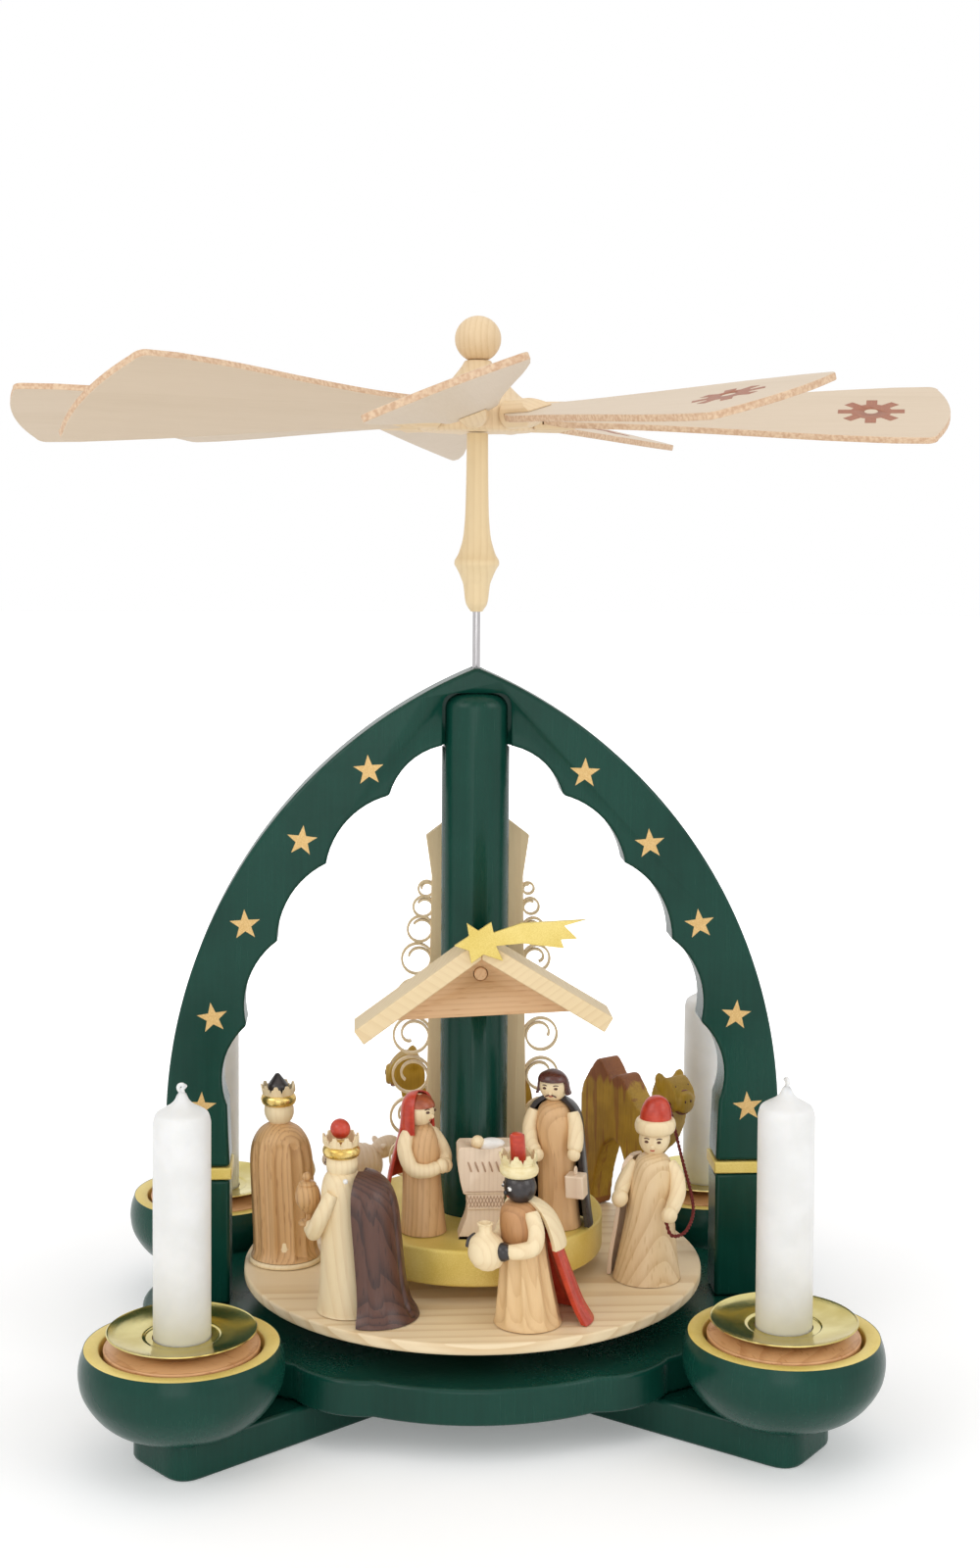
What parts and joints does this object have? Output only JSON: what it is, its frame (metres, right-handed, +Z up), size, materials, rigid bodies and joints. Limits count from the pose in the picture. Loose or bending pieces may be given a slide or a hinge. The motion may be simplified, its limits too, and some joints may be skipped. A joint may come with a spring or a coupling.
{
  "type": "candle carousel",
  "caption": "Heat-driven candle carousel: pointed arch on crossed feet, candle bowls, turning disc with carved figures and a pitched-blade rotor on one shaft.",
  "frame": {"origin": "on the shaft's axis at the height of the table it stands on", "axes": "+Z up along the shaft, +X to the right along the arch, -Y to the front where the hut and comet face"},
  "size_m": [0.2962, 0.298, 0.3435],
  "materials": {
    "green_lacquer": "glossy green lacquer",
    "gold_paint": "matt gold paint",
    "brass": "polished sheet",
    "steel": "drawn",
    "pale_wood": "clear, fine sanded",
    "beech": "clear, turned",
    "wax": "white candle wax",
    "oak_wood": "clear, turned",
    "maple_wood": "clear, turned and painted",
    "walnut_light": "clear, turned and painted",
    "pear_wood": "clear, carved",
    "camel_stain": "olive brown stain",
    "red_cord": "twisted, dark red"
  },
  "bodies": {
    "stand": {"foot_bar_lower": "green_lacquer", "foot_bar_upper": "green_lacquer", "base_plate": "green_lacquer", "bearing_cup": "brass", "leg_left": "green_lacquer", "leg_right": "green_lacquer", "band_left": "gold_paint", "band_right": "gold_paint", "arch": "green_lacquer", "column": "green_lacquer", "podium": "gold_paint", "gable": "beech", "roof_left": "pale_wood", "roof_right": "pale_wood", "dowel": "beech", "comet": "gold_paint", "curl_tree": "pale_wood", "mary": "walnut_light", "joseph": "walnut_light", "crib": "pear_wood", "bowl_front_left": "green_lacquer", "bowl_front_right": "green_lacquer", "bowl_back_left": "green_lacquer", "bowl_back_right": "green_lacquer", "insert_front_left": "beech", "insert_front_right": "beech", "insert_back_left": "beech", "insert_back_right": "beech", "dish_front_left": "brass", "dish_front_right": "brass", "dish_back_left": "brass", "dish_back_right": "brass"},
    "turning": {"shaft": "steel", "turntable": "pale_wood", "turntable_hub": "pale_wood", "king_left": "oak_wood", "king_front_left": "maple_wood", "king_front": "maple_wood", "attendant": "maple_wood", "camel": "camel_stain", "camel_far": "camel_stain", "sheep": "pear_wood", "lead": "red_cord", "spindle": "pale_wood", "rotor_hub": "beech", "ball": "beech"},
    "candle_front_left": {"candle_front_left": "wax"},
    "candle_front_right": {"candle_front_right": "wax"},
    "candle_back_left": {"candle_back_left": "wax"},
    "candle_back_right": {"candle_back_right": "wax"},
    "blade_0": {"blade_0": "pale_wood"},
    "blade_1": {"blade_1": "pale_wood"},
    "blade_2": {"blade_2": "pale_wood"},
    "blade_3": {"blade_3": "pale_wood"},
    "blade_4": {"blade_4": "pale_wood"},
    "blade_5": {"blade_5": "pale_wood"},
    "blade_6": {"blade_6": "pale_wood"},
    "blade_7": {"blade_7": "pale_wood"},
    "blade_8": {"blade_8": "pale_wood"}
  },
  "joints": [
    {"name": "turntable_spin", "type": "hinge", "parent": "stand", "child": "turning", "pos_m": [0, 0, 0], "axis": [0, 0, 1], "continuous": true},
    {"name": "blade_pitch_0", "type": "hinge", "parent": "turning", "child": "blade_0", "pos_m": [0, 0, 0.311], "axis": [-0.1132, -0.9936, 0], "range_deg": [-16, 39]},
    {"name": "blade_pitch_1", "type": "hinge", "parent": "turning", "child": "blade_1", "pos_m": [0, 0, 0.311], "axis": [0.503, -0.8643, 0], "range_deg": [-11, 44]},
    {"name": "blade_pitch_2", "type": "hinge", "parent": "turning", "child": "blade_2", "pos_m": [0, 0, 0.311], "axis": [0.9659, -0.2588, 0], "range_deg": [-18, 37]},
    {"name": "blade_pitch_3", "type": "hinge", "parent": "turning", "child": "blade_3", "pos_m": [0, 0, 0.311], "axis": [0.9304, 0.3665, 0], "range_deg": [-5, 50]},
    {"name": "blade_pitch_4", "type": "hinge", "parent": "turning", "child": "blade_4", "pos_m": [0, 0, 0.311], "axis": [0.4289, 0.9033, 0], "range_deg": [-8, 47]},
    {"name": "blade_pitch_5", "type": "hinge", "parent": "turning", "child": "blade_5", "pos_m": [0, 0, 0.311], "axis": [-0.1513, 0.9885, 0], "range_deg": [-18, 37]},
    {"name": "blade_pitch_6", "type": "hinge", "parent": "turning", "child": "blade_6", "pos_m": [0, 0, 0.311], "axis": [-0.7826, 0.6225, 0], "range_deg": [-5, 50]},
    {"name": "blade_pitch_7", "type": "hinge", "parent": "turning", "child": "blade_7", "pos_m": [0, 0, 0.311], "axis": [-0.9992, 0.0401, 0], "range_deg": [-14, 41]},
    {"name": "blade_pitch_8", "type": "hinge", "parent": "turning", "child": "blade_8", "pos_m": [0, 0, 0.311], "axis": [-0.7593, -0.6508, 0], "range_deg": [-23.5, 31.5]},
    {"name": "candle_lift_front_left", "type": "slide", "parent": "stand", "child": "candle_front_left", "axis": [0, 0, 1], "range_m": [0, 0.06]},
    {"name": "candle_lift_front_right", "type": "slide", "parent": "stand", "child": "candle_front_right", "axis": [0, 0, 1], "range_m": [0, 0.06]},
    {"name": "candle_lift_back_left", "type": "slide", "parent": "stand", "child": "candle_back_left", "axis": [0, 0, 1], "range_m": [0, 0.06]},
    {"name": "candle_lift_back_right", "type": "slide", "parent": "stand", "child": "candle_back_right", "axis": [0, 0, 1], "range_m": [0, 0.06]}
  ]
}
